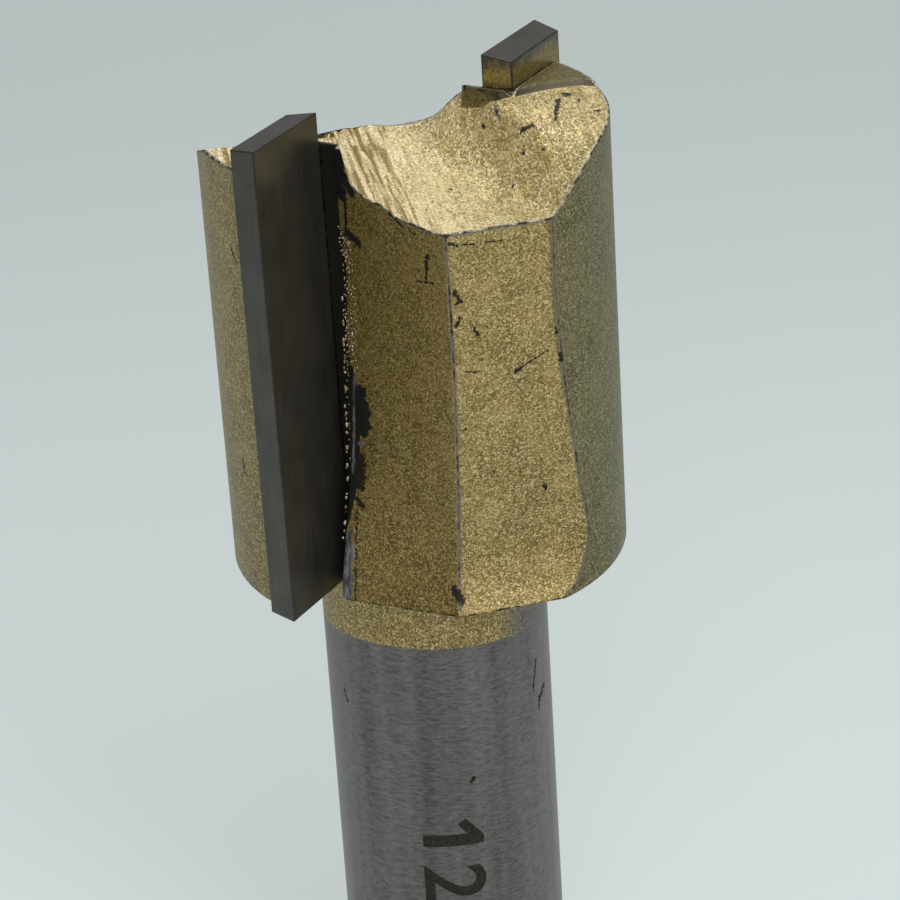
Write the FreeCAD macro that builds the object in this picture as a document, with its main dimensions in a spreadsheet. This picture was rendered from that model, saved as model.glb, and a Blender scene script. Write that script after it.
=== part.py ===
import FreeCAD, Part
import os
import Sketcher
from FreeCAD import Vector

doc = FreeCAD.newDocument("RouterBit")
os.makedirs("parts", exist_ok=True)

# Millimetres. Origin: centre of the shank's end face. +Z runs up to the cutting end.
# The front tip points to -Y and its rake face looks to +X; the back tip is the same, half a turn on.
drivers = {
    "shankDiameter": 12.7,
    "shankLength": 38.1,     # end face to the underside of the head
    "shankChamfer": 0.8,
    "cuttingDiameter": 23.6,
    "tipOverhang": 0.8,      # cutting edge beyond the head all round
    "headHeight": 25.2,      # underside to the flat of a land
    "tipLength": 26.95,      # along the axis, underside flush with the head
    "tipWidth": 6.2,         # seen on the rake face
    "tipThickness": 1.74,
    "rakeOffset": 1.88,      # rake plane to the axis, gives the hook angle
    "sideRelief": 16.6,      # degrees, outer face of a tip
    "endRelief": 9.0,        # degrees, top face of a tip
    "innerSlant": 7.0,       # degrees, inner end of a tip
    "brazeGap": 0.15,
    "gashWidth": 1.03,       # open cut in front of a rake face
    "scoopDepth": 3.6,       # flat of a land to the scoop's floor, on the axis
    "scoopFloor": 5.8,
    "scoopWall": 42.0,       # degrees from level
    "scoopTurn": 56.0,       # degrees, the scoop runs from -Y towards +X by 90 less this
    "scoopFall": 2.4,        # degrees, the floor sinks towards the back
    "landTurn": 125.7,       # degrees, uphill run of the back land's relief in plan, from +X
    "frontRelief": 20.5,     # degrees, slope of the front land down to the scoop's back end
    "frontRidge": 2.6,       # axis to the ridge where that slope starts
    "backRelief": 6.0,       # the two lands are ground unevenly
    "backRidge": 2.0,
}

# A gullet has a wall beside the slot and a flat, which meet in a corner. From its run-out upwards:
# height as a share of the head's, then as shares of the head's radius the flat's distance from the
# axis, the corner's place along the flat, and the wall's distance from the axis at the slot
stations = {
    "Exit": (-0.008, 0.905, 0.1, 0.773),
    "Lift": (0.048, 0.836, 0.077, 0.738),
    "Waist": (0.131, 0.793, 0.057, 0.686),
    "Throat": (0.246, 0.818, 0.056, 0.618),
    "Bend": (0.635, 0.877, 0.055, 0.532),
}
parts = ("height", "flat", "corner", "wall")

sizes = dict(drivers)
sizes["headDiameter"] = "=cuttingDiameter - 2 * tipOverhang"
for place, shares in stations.items():
    for label, share in zip(parts, shares):
        sizes[label + place] = share
sheet = doc.addObject("Spreadsheet::Sheet", "Sizes")
for row, (name, value) in enumerate(sizes.items(), start=1):
    sheet.set("A%d" % row, name)
    sheet.set("B%d" % row, str(value))
    sheet.setAlias("B%d" % row, name)
doc.recompute()


def s(rule):
    """the rules below write @name for a cell of the sheet"""
    return rule.replace("@", "Sizes.")


def origin(body, role):
    return next(item for item in body.Origin.OriginFeatures if item.Role == role)


def newBody(label):
    body = doc.addObject("PartDesign::Body", label)
    body.Label = label
    return body


def newSketch(body, plane, label, offset=None):
    """a sketch on one of the body's own origin planes, moved by an offset rule"""
    sketch = body.newObject("Sketcher::SketchObject", label)
    sketch.AttachmentSupport = (origin(body, plane + "_Plane"), [""])
    sketch.MapMode = "FlatFace"
    if offset:
        sketch.setExpression("AttachmentOffset", s(offset))
    return sketch


def outline(sketch, corners):
    """closed run of lines, every corner placed by a pair of rules"""
    points = [Vector(*(float(sketch.evalExpression(s(rule))) for rule in corner)) for corner in corners]
    count = len(points)
    for i in range(count):
        sketch.addGeometry(Part.LineSegment(points[i], points[(i + 1) % count]), False)
    for i in range(count):
        sketch.addConstraint(Sketcher.Constraint("Coincident", i, 2, (i + 1) % count, 1))
    for i, corner in enumerate(corners):
        for axis, rule, value in zip("XY", corner, points[i]):
            name = "corner%d%s" % (i, axis)
            index = sketch.addConstraint(Sketcher.Constraint("Distance" + axis, -1, 1, i, 1, value))
            sketch.renameConstraint(index, name)
            sketch.setExpression("Constraints." + name, s(rule))
    return sketch


def pad(body, sketch, length, label):
    feature = body.newObject("PartDesign::Pad", label)
    feature.Profile = sketch
    feature.setExpression("Length", s(length))
    return feature


def pocket(body, sketch, length, label, reverse=False, midplane=False):
    feature = body.newObject("PartDesign::Pocket", label)
    feature.Profile = sketch
    feature.setExpression("Length", s(length))
    feature.Reversed = reverse
    feature.Midplane = midplane
    return feature


def twice(body, features, label):
    """the same features again, half a turn on about Z"""
    pattern = body.newObject("PartDesign::PolarPattern", label)
    pattern.Originals = features
    pattern.Axis = (origin(body, "Z_Axis"), [""])
    pattern.Angle = 360
    pattern.Occurrences = 2
    body.Tip = pattern
    return pattern


# Shared seats: body and seam are cut to the same walls the tip is drawn from
tipOuter = "sqrt((@cuttingDiameter / 2) ^ 2 - @rakeOffset ^ 2)"
tipInner = tipOuter + " - @tipWidth"
tipBack = "@rakeOffset + @tipThickness"
slotEnd = tipInner + " - @brazeGap"
slotBack = tipBack + " + @brazeGap"
atUnderside = "placement(vector(0; 0; @shankLength); rotation(vector(0; 0; 1); 0))"


def cutScoop(body, turn=0):
    """the channel across the end: level floor, two leaning walls"""
    section = newSketch(body, "XZ", "ScoopSection",
                        "placement(vector(0; 0; 0); rotation(vector(0; 1; 0); @scoopTurn - %d) "
                        "* rotation(vector(1; 0; 0); -@scoopFall))" % turn)
    rise = "(@scoopDepth + 3)"
    floorLevel = "@shankLength + @headHeight - @scoopDepth"
    wallTop = "@scoopFloor / 2 + %s / tan(@scoopWall)" % rise
    outline(section, [
        ("-@scoopFloor / 2", floorLevel),
        ("@scoopFloor / 2", floorLevel),
        (wallTop, floorLevel + " + " + rise),
        ("-(%s)" % wallTop, floorLevel + " + " + rise),
    ])
    return pocket(body, section, "@headDiameter * 2", "Scoop", midplane=True)


# Cutter body: one piece of steel, shank and head
cutter = newBody("cutter_body")
blank = newSketch(cutter, "XZ", "BlankHalf")
outline(blank, [
    ("0", "0"),
    ("@shankDiameter / 2 - @shankChamfer", "0"),
    ("@shankDiameter / 2", "@shankChamfer"),
    ("@shankDiameter / 2", "@shankLength"),
    ("@headDiameter / 2", "@shankLength"),
    ("@headDiameter / 2", "@shankLength + @headHeight"),
    ("0", "@shankLength + @headHeight"),
])
turned = cutter.newObject("PartDesign::Revolution", "TurnedBlank")
turned.Profile = blank
turned.ReferenceAxis = (blank, ["V_Axis"])
turned.Angle = 360
doc.recompute()

cutScoop(cutter)

# Land relief: a wedge off the top of each land, from its ridge down to the next gullet
landTop = "@shankLength + @headHeight"
for land, turn in (("back", 0), ("front", 180)):
    ridge, slope = "@" + land + "Ridge", "@" + land + "Relief"
    wedge = newSketch(cutter, "XZ", land + "Wedge",
                      "placement(vector(0; 0; 0); rotation(vector(0; 1; 0); @landTurn - %d))" % turn)
    foot = "%s - @scoopDepth / tan(%s)" % (ridge, slope)
    outline(wedge, [
        (ridge, landTop),
        (ridge, landTop + " + 1"),
        (foot + " - @headDiameter", landTop + " + 1"),
        (foot + " - @headDiameter", landTop + " - @scoopDepth"),
        (foot, landTop + " - @scoopDepth"),
    ])
    pocket(cutter, wedge, "@headDiameter", land + "LandRelief", reverse=True)

# Gullet: ruled between its stations, so wall and flat lean in and run out below as milled
rings = []
for place in list(stations) + ["Mouth"]:
    level = "@headHeight + 1" if place == "Mouth" else "@headHeight * @height" + place
    source = "Bend" if place == "Mouth" else place
    flat, corner, wall = ("@headDiameter / 2 * @" + label + source for label in parts[1:])
    ring = newSketch(cutter, "XY", "Gullet" + place,
                     "placement(vector(0; 0; @shankLength + %s); rotation(vector(0; 0; 1); 0))" % level)
    reach = "@headDiameter * 0.6"
    outline(ring, [
        ("@gashWidth - @rakeOffset", "-" + wall),
        ("(%s - %s) / sqrt(2)" % (flat, corner), "-(%s + %s) / sqrt(2)" % (flat, corner)),
        ("(%s + %s) / sqrt(2)" % (flat, reach), "(%s - %s) / sqrt(2)" % (reach, flat)),
        ("(@headDiameter + %s) / sqrt(2)" % reach, "(%s - @headDiameter) / sqrt(2)" % reach),
        ("@gashWidth - @rakeOffset", "-@headDiameter"),
    ])
    rings.append(ring)
gullet = cutter.newObject("PartDesign::SubtractiveLoft", "Gullet")
gullet.Profile = rings[0]
gullet.Sections = rings[1:]
gullet.Ruled = True

# Slot for a tip, with the open cut in front of the rake face
slot = newSketch(cutter, "XY", "SlotOutline", atUnderside)
outline(slot, [
    ("@gashWidth - @rakeOffset", "-(%s)" % slotEnd),
    ("@gashWidth - @rakeOffset", "-@headDiameter"),
    ("-(%s)" % slotBack, "-@headDiameter"),
    ("-(%s)" % slotBack, "-(%s)" % slotEnd),
])
slotCut = pocket(cutter, slot, "@headHeight + 1", "Slot", reverse=True)
twice(cutter, [gullet, slotCut], "BothFlutes")


# Carbide tip: a bar with relief on its outer face and on its end
def makeTip(label, turn):
    body = newBody(label)
    plan = newSketch(body, "XY", label + "Plan", atUnderside)
    outline(plan, [
        ("-@rakeOffset", "-(%s)" % tipOuter),
        ("-(%s)" % tipBack, "-(%s - @tipThickness * tan(@sideRelief))" % tipOuter),
        ("-(%s)" % tipBack, "-(%s + @tipThickness * tan(@innerSlant))" % tipInner),
        ("-@rakeOffset", "-(%s)" % tipInner),
    ])
    pad(body, plan, "@tipLength", label + "Bar")
    side = newSketch(body, "XZ", label + "End")
    tipTop = "@shankLength + @tipLength"
    outline(side, [
        ("-@rakeOffset", tipTop),
        ("-@rakeOffset", tipTop + " + 1"),
        ("-@rakeOffset - 2 * @tipThickness", tipTop + " + 1"),
        ("-@rakeOffset - 2 * @tipThickness", tipTop + " - 2 * @tipThickness * tan(@endRelief)"),
    ])
    pocket(body, side, "@cuttingDiameter * 2", label + "EndRelief", midplane=True)
    body.Placement.Rotation = FreeCAD.Rotation(Vector(0, 0, 1), turn)
    return body


# Braze: the thin seam behind a tip and at its inner end, cut off level with the body
def makeSeam(label, turn):
    body = newBody(label)
    plan = newSketch(body, "XY", label + "Plan", atUnderside)
    seamOuter = "sqrt((@headDiameter / 2) ^ 2 - (%s) ^ 2)" % slotBack
    outline(plan, [
        ("-(%s)" % slotBack, "-(%s)" % seamOuter),
        ("-(%s)" % tipBack, "-(%s)" % seamOuter),
        ("-(%s)" % tipBack, "-(%s + @tipThickness * tan(@innerSlant))" % tipInner),
        ("-@rakeOffset", "-(%s)" % tipInner),
        ("-@rakeOffset", "-(%s)" % slotEnd),
        ("-(%s)" % slotBack, "-(%s)" % slotEnd),
    ])
    pad(body, plan, "@headHeight", label + "Layer")
    cutScoop(body, turn)
    body.Placement.Rotation = FreeCAD.Rotation(Vector(0, 0, 1), turn)
    return body


bodies = [
    cutter,
    makeTip("carbide_tip_front", 0),
    makeTip("carbide_tip_back", 180),
    makeSeam("braze_seam_front", 0),
    makeSeam("braze_seam_back", 180),
]
doc.recompute()

for item in doc.Objects:
    if "Invalid" in item.State or "Error" in item.State:
        raise RuntimeError("%s does not build: %s" % (item.Name, item.State))
for body in bodies:
    if body.Shape.isNull() or not body.Shape.isValid() or len(body.Shape.Solids) != 1:
        raise RuntimeError("%s is not one sound solid" % body.Label)
    body.Shape.exportStep("parts/%s.step" % body.Label)
    print(body.Label, round(body.Shape.Volume, 1), body.Shape.BoundBox)
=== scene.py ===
import math
import bpy
import bmesh
import numpy as np
from mathutils import Matrix, Vector, geometry


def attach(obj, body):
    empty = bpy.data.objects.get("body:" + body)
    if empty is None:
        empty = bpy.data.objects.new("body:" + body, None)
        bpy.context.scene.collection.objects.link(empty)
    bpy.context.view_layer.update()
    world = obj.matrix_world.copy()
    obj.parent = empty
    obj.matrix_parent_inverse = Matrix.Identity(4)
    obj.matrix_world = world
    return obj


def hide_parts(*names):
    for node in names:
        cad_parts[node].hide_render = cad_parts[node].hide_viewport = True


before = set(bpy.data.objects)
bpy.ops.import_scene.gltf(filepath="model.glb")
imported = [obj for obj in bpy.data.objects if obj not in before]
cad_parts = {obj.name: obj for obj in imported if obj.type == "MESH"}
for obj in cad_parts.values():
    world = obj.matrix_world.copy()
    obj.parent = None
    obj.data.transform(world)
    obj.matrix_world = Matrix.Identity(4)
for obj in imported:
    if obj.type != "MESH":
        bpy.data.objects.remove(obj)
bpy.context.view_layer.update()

scene = bpy.context.scene
mm = 0.001

# Lengths in this script are millimetres until a mesh is made; heights in the head are
# measured from its underside, which stands on top of the shank.


def linear(hexColour):
    channels = [int(hexColour[i:i + 2], 16) / 255 for i in (1, 3, 5)]
    return tuple(c / 12.92 if c <= 0.04045 else ((c + 0.055) / 1.055) ** 2.4 for c in channels) + (1.0,)


def addNode(tree, kind, inputs=None, **settings):
    node = tree.nodes.new(kind)
    for name, value in settings.items():
        setattr(node, name, value)
    for socket, value in (inputs or {}).items():
        if isinstance(value, bpy.types.Node):
            value = value.outputs[0]
        if isinstance(value, bpy.types.NodeSocket):
            tree.links.new(value, node.inputs[socket])
        else:
            node.inputs[socket].default_value = value
    return node


def newMaterial(name):
    material = bpy.data.materials.new(name)
    material.use_nodes = True
    material.node_tree.nodes.clear()
    return material, material.node_tree


def finishMaterial(tree, shader):
    addNode(tree, "ShaderNodeOutputMaterial", {"Surface": shader})


def newPiece(name, points, faces, material, replaced, attributes=None, sharpAngle=35):
    mesh = bpy.data.meshes.new(name)
    mesh.from_pydata([tuple(p) for p in np.asarray(points) * mm], [], faces)
    mesh.update()
    for label, values in (attributes or {}).items():
        layer = mesh.attributes.new(label, "FLOAT", "POINT")
        layer.data.foreach_set("value", np.asarray(values, dtype=np.float32))
    mesh.polygons.foreach_set("use_smooth", [True] * len(mesh.polygons))
    mesh.set_sharp_from_angle(angle=math.radians(sharpAngle))
    mesh.materials.append(material)
    piece = bpy.data.objects.new(name, mesh)
    scene.collection.objects.link(piece)
    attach(piece, "root")
    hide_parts(replaced)
    return piece


def smoothStep(a, b, x):
    t = np.clip((x - a) / (b - a), 0, 1)
    return t * t * (3 - 2 * t)


# the smaller of two heights, rounded where they cross
def softMin(a, b, k=0.04):
    return np.minimum(a, b) - k * np.log1p(np.exp(-np.abs(a - b) / k))


# smooth curve through stations, value by place
def through(stations, x):
    xs = np.array(list(stations), dtype=float)
    ys = np.array(list(stations.values()), dtype=float)
    slopes = np.gradient(ys, xs)
    i = np.clip(np.searchsorted(xs, x) - 1, 0, len(xs) - 2)
    t = np.clip((x - xs[i]) / (xs[i + 1] - xs[i]), 0, 1)
    d = xs[i + 1] - xs[i]
    return ((1 + 2 * t) * (1 - t) ** 2 * ys[i] + t * (1 - t) ** 2 * d * slopes[i]
            + t * t * (3 - 2 * t) * ys[i + 1] - t * t * (1 - t) * d * slopes[i + 1])


# Cutter body: shank and head in one piece of steel
body = {
    "headRadius": 11.0,
    "headHeight": 25.2,
    "shankRadius": 6.35,
    "shankLength": 38.1,
    "shankChamfer": 0.8,
    "slotBack": 3.77,
    "slotEnd": 5.30,
    "gashSide": 0.85,
    "step": 0.3,             # mesh spacing round the head
    "rimRound": 0.08,
    # gullet by height: distance of the flat, place of the corner along it, distance of the wall at the slot
    "flat": {-0.3: 10.0, 0.2: 9.77, 0.5: 9.52, 1.2: 9.19, 2.2: 8.88, 3.3: 8.73, 4.6: 8.82, 5.9: 9.01,
             9.0: 9.28, 12.7: 9.54, 16.0: 9.67, 30.0: 9.67},
    "corner": {-0.3: 1.1, 1.4: 0.85, 3.3: 0.65, 6.0: 0.6, 30.0: 0.6},
    "wall": {-0.3: 8.5, 1.5: 8.12, 3.3: 7.6, 4.9: 7.15, 6.1: 6.82, 7.8: 6.62, 11.1: 6.3, 13.9: 6.05,
             16.0: 5.86, 30.0: 5.86},
}

scoop = {
    "depth": 3.6,
    "turn": 326.0,           # degrees, run of the channel in plan
    "fall": 2.4,
    "halfWidth": 2.9,
    "wall": 42.0,
    "leadTurn": 308.0,       # run of the cutter marks beside a tip
    # rise above the floor beside the front tip, by distance from the axis across the cutter marks
    "leadRise": {0.0: 0.0, 0.5: 0.14, 0.95: 0.25, 1.4: 0.36, 1.75: 0.56, 2.1: 0.86, 2.5: 0.99, 2.9: 1.15,
                 3.2: 1.33, 3.45: 1.62, 3.6: 1.98, 3.74: 2.75, 3.86: 3.5, 4.0: 4.6},
    # rise on the other side, by distance from the axis across the channel: near the middle, near the rim
    "backRise": {0.0: 0.0, 1.6: 0.0, 2.5: 0.06, 3.0: 0.25, 3.5: 0.62, 4.0: 1.08, 4.5: 1.65, 5.0: 2.42,
                 5.3: 2.85, 5.8: 3.1, 6.8: 3.2, 12.0: 3.3},
    "backRiseOut": {0.0: 0.0, 1.6: -0.02, 2.6: -0.03, 3.3: 0.0, 3.8: 0.33, 4.35: 0.78, 5.15: 1.38, 6.2: 2.08,
                    7.4: 2.58, 8.3: 2.72, 12.0: 2.9},
    "heel": 0.58,            # extra rise into the corner beside the back tip
    # front edge of the land behind the back tip: places in plan, width of its step there
    "step": [(0.1, 6.6, 0.1), (0.46, 5.98, 0.1), (0.66, 5.16, 0.1), (1.6, 4.85, 0.12), (2.4, 4.7, 0.2),
             (3.3, 4.74, 0.35), (4.2, 5.45, 0.5), (5.3, 6.7, 0.6), (6.7, 7.75, 0.6), (8.2, 7.9, 0.5),
             (9.6, 8.0, 0.5)],
    "frontTurn": 305.7, "frontRidge": 2.6, "frontRelief": 20.5,
    # cutter marks: place across, half width, depth
    "marks": [(2.46, 0.09, 0.14), (2.22, 0.07, -0.09), (2.02, 0.08, 0.11), (1.78, 0.06, -0.07),
              (1.6, 0.07, 0.08), (1.32, 0.06, 0.06), (1.12, 0.05, -0.04), (0.9, 0.06, 0.045),
              (0.55, 0.05, 0.028), (0.2, 0.06, 0.03), (-0.2, 0.05, 0.018), (-0.7, 0.06, 0.02),
              (2.75, 0.05, 0.03), (3.0, 0.06, 0.03)],
}


# unit vector a quarter turn to the right of a run
def across(degrees):
    a = math.radians(degrees - 90)
    return math.cos(a), math.sin(a)


# signed distance behind the front edge of the back land, and the width of the step there
def beyondStep(x, y):
    best = np.full(np.shape(x), 1e9)
    signed, width = np.zeros(np.shape(x)), np.zeros(np.shape(x))
    line = scoop["step"]
    for (ax, ay, aw), (bx, by, bw) in zip(line, line[1:]):
        dx, dy = bx - ax, by - ay
        length = math.hypot(dx, dy)
        t = np.clip(((x - ax) * dx + (y - ay) * dy) / length ** 2, 0, 1)
        away = np.hypot(x - ax - t * dx, y - ay - t * dy)
        side = np.sign(dx * (y - ay) - dy * (x - ax))
        nearer = away < best - 1e-9
        best = np.where(nearer, away, best)
        signed = np.where(nearer, away * side, signed)
        width = np.where(nearer, aw + (bw - aw) * t, width)
    return signed, width


# rise of the scoop above its floor on the front tip's side
def frontRise(x, y, along):
    ux, uy = across(scoop["turn"])
    w = x * ux + y * uy
    heel = 0.35 * np.logaddexp(0, (w - scoop["halfWidth"]) / 0.35) * math.tan(math.radians(scoop["wall"]))
    ux, uy = across(scoop["leadTurn"])
    q = x * ux + y * uy
    lead = through(scoop["leadRise"], q)
    lead = np.where(q > 4.0, 6.0, np.where(q < 0, 0.0, lead)) * smoothStep(0.0, 0.9, w)
    return heel + (lead - heel) * smoothStep(-7.0, -3.5, along)


# the same on the back tip's side, where it changes from the middle out to the rim
def backRise(x, y, along):
    ux, uy = across(scoop["turn"])
    w = np.maximum(-(x * ux + y * uy), 0)
    near, out = through(scoop["backRise"], w), through(scoop["backRiseOut"], w)
    return near + (out - near) * smoothStep(1, 10, along)


# height of the head's end at a place in plan: floor, rises, cutter marks and both lands
def topHeight(x, y):
    x, y = np.asarray(x, dtype=float), np.asarray(y, dtype=float)
    turn = math.radians(scoop["turn"])
    along = x * math.cos(turn) + y * math.sin(turn)
    ux, uy = across(scoop["turn"])
    onFront = x * ux + y * uy > 0
    floor = body["headHeight"] - scoop["depth"] + along * math.tan(math.radians(scoop["fall"]))
    rise = np.where(onFront, frontRise(x, y, along), backRise(x, y, along))
    a = math.radians(scoop["frontTurn"])
    ahead = x * math.cos(a) + y * math.sin(a)
    drop = np.maximum(0, scoop["frontRidge"] - ahead) * math.tan(math.radians(scoop["frontRelief"]))
    land = np.where(onFront, body["headHeight"] - drop, body["headHeight"])
    channel = floor + rise + scoop["heel"] * smoothStep(2.6, 0.3, np.hypot(x - 0.4, y - 5.8))
    ux, uy = across(scoop["leadTurn"])
    q = x * ux + y * uy
    inside = smoothStep(0.05, 0.5, land - channel)
    for place, width, depth in scoop["marks"]:
        channel = channel - inside * depth * np.exp(-((q - place) / width) ** 2)
    low = softMin(channel, land) + 0.0277
    behind, width = beyondStep(x, y)
    share = np.where(onFront, 0.0, smoothStep(-0.2, 1.0, behind / width))
    brokenCorner = 0.42 * smoothStep(0.9, 0.15, np.hypot(x - 0.6, y - 5.95))
    return low + (np.maximum(body["headHeight"] - brokenCorner, low) - low) * share


# closed outline of the head at one height, with an edge weight for each point
def headSection(h):
    r = body["headRadius"]
    flat, corner, wall = (float(through(body[k], np.float64(h))) for k in ("flat", "corner", "wall"))
    half = math.sqrt(max(r * r - flat * flat, 0.01))
    k = math.sqrt(0.5)
    outerY = math.sqrt(r * r - body["slotBack"] ** 2)
    corners = [
        ((-body["slotBack"], -outerY), 0.18, 0.5),
        ((-body["slotBack"], -body["slotEnd"]), 0.05, 0.0),
        ((-body["gashSide"], -body["slotEnd"]), 0.05, 0.0),
        ((-body["gashSide"], -wall), 0.16, 0.7),
        (((flat - corner) * k, -(flat + corner) * k), 0.18, 1.0),
        (((flat + half) * k, (half - flat) * k), 0.2, 1.0),
        ((body["slotBack"], outerY), 0.0, 0.0),
    ]
    points, edge = [], []
    for i in range(6):
        (p, reach, weight), q = corners[i], np.array(corners[i + 1][0])
        p = np.array(p)
        before = np.array(corners[i - 1][0]) if i else np.array((-body["slotBack"] - 1.0, -outerY + 0.365))
        if i == 5:
            start, end = math.atan2(p[1], p[0]), math.atan2(q[1], q[0])
            tangent = np.array((-math.sin(start), math.cos(start)))
        else:
            tangent = (q - p) / np.linalg.norm(q - p)
        coming = (p - before) / np.linalg.norm(p - before)
        for t, share in ((0.0, 0.5), (0.25, 0.8), (0.5, 1.0), (0.75, 0.8), (1.0, 0.5)):
            a, b = p - coming * reach, p + tangent * reach
            points.append((1 - t) ** 2 * a + 2 * t * (1 - t) * p + t * t * b)
            edge.append(weight * share)
        ends = corners[i + 1][1:] if i < 5 else (0.18, 0.5)
        length = referenceRuns[i]
        places = spacing(length, i == 3)
        for d in places:
            f = d / length
            if i == 5:
                lo, hi = start + reach / r, end - ends[0] / r
                a = lo + (hi - lo) * f
                points.append(np.array((math.cos(a), math.sin(a))) * r)
            else:
                a, b = p + tangent * reach, q - tangent * ends[0]
                points.append(a + (b - a) * f)
            near = 0.5 * max(weight * (1 - d / 0.2), ends[1] * (1 - (length - d) / 0.2), 0.0)
            edge.append(near)
    points = np.array(points)
    return np.vstack((points, -points)), np.array(edge * 2)


# places along a run: close together near its ends, and where the rim climbs
def spacing(length, dense=False):
    if length < 1:
        return [length * f for f in (0.2, 0.4, 0.6, 0.8)]
    places = [0.1, 0.22]
    if dense:
        places += list(np.arange(0.34, 1.45, 0.05))
    start = places[-1] + 0.1
    count = max(1, int(round((length - 0.32 - start) / body["step"])))
    places += list(np.linspace(start, length - 0.32, count + 1))
    return places + [length - 0.22, length - 0.1]


# lengths of the runs at mid height; they settle how many points each run has at every height
referenceRuns = [4.9, 2.8, 0.5, 7.2, 5.6, 16.3]


# the same loop, moved inwards
def inset(loop, distance):
    ahead = np.roll(loop, -1, axis=0) - loop
    ahead /= np.linalg.norm(ahead, axis=1)[:, None]
    normal = np.stack((ahead[:, 1], -ahead[:, 0]), axis=1)
    before = np.roll(normal, 1, axis=0)
    miter = (normal + before) / np.maximum(1 + (normal * before).sum(1), 0.3)[:, None]
    return loop - miter * distance


def insideLoop(loop, x, y):
    result = np.zeros(len(x), dtype=bool)
    ax, ay = loop[:, 0], loop[:, 1]
    bx, by = np.roll(ax, -1), np.roll(ay, -1)
    for i in range(len(loop)):
        crosses = (ay[i] > y) != (by[i] > y)
        if crosses.any():
            at = (bx[i] - ax[i]) * (y - ay[i]) / (by[i] - ay[i] + 1e-12) + ax[i]
            result ^= crosses & (x < at)
    return result


# triangles over a loop and the loose points in it, as indices into the loop, then the points
def fillLoop(loop, innerPoints):
    count = len(loop)
    edges = [(i, (i + 1) % count) for i in range(count)]
    flatPoints = np.vstack((loop, innerPoints))
    out = geometry.delaunay_2d_cdt([Vector(p) for p in flatPoints], edges, [], 0, 1e-7, True)
    source = [ids[0] for ids in out[3]]
    triangles = np.array([[source[v] for v in f] for f in out[2]])
    middle = flatPoints[triangles].mean(axis=1)
    triangles = triangles[insideLoop(loop, middle[:, 0], middle[:, 1])]
    a, b, c = (flatPoints[triangles[:, i]] for i in range(3))
    turn = (b[:, 0] - a[:, 0]) * (c[:, 1] - a[:, 1]) - (b[:, 1] - a[:, 1]) * (c[:, 0] - a[:, 0])
    triangles[turn < 0] = triangles[turn < 0][:, ::-1]
    return triangles


# faces between two rings of as many points
def bridge(lower, upper):
    count = len(lower)
    return [(lower[i], lower[(i + 1) % count], upper[(i + 1) % count], upper[i]) for i in range(count)]


# 1 on the turned land behind the back tip and on the face of its step, 0 in the scoop
def onLand(points):
    points = np.asarray(points)
    x, y, h = points[:, 0], points[:, 1], points[:, 2] - body["shankLength"]
    behind, width = beyondStep(x, y)
    k = math.radians(scoop["turn"] - 90)
    back = (x * math.cos(k) + y * math.sin(k) < 0) & (h > 22)
    return np.where(back, smoothStep(-0.03, 0.03, behind), 0.0)


# 1 on the turned outside of the head; 1 on the wall at the back of each gullet; both carry painted shade,
# darker and greyer lacquer
def paintedShadeZones(points):
    points = np.asarray(points)
    x, y, h = points[:, 0], points[:, 1], points[:, 2] - body["shankLength"]
    turned = (np.hypot(x, y) > 10.9) & (h > 0)
    front = np.abs(x - y) * math.sqrt(0.5)
    gullet = (front < through(body["flat"], h) - 0.1) & ~turned & (h > 0)
    return turned.astype(float), gullet.astype(float)


# 1 in each gash and on the strip beside it, black with burnt flux and painted shadow in the deep gash, and on
# the head's lower edge, a painted shade line in the crease under the head
def fluxAndPaintedShade(points):
    points = np.asarray(points)
    x, y, h = points[:, 0], points[:, 1], points[:, 2] - body["shankLength"]
    x, y = np.where(y > 0, -x, x), np.where(y > 0, -y, y)
    onHead = (h > 0.0) & (y < -5.2) & (np.hypot(x, y) < 10.5)
    strip = through({0.0: -0.84, 3.6: -0.84, 4.6: -0.6, 6.0: -0.36, 12.6: -0.34, 13.6: -0.6,
                     19.5: -0.62, 20.5: -0.8, 30.0: -0.8}, h)
    beside = onHead & (x > -1.9) & (y > -8.9)
    sootAndShade = np.where(beside, smoothStep(strip + 0.06, strip - 0.02, x), 0.0)
    slot = (h > 0.0) & (x < -0.86) & (x > -3.8) & (y > -5.31) & (y < -5.2)
    creaseShade = (np.abs(h) < 0.05) & (y < -5.2) & (x > -0.8)
    return np.maximum(np.maximum(sootAndShade, slot), 0.42 * creaseShade)


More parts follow.
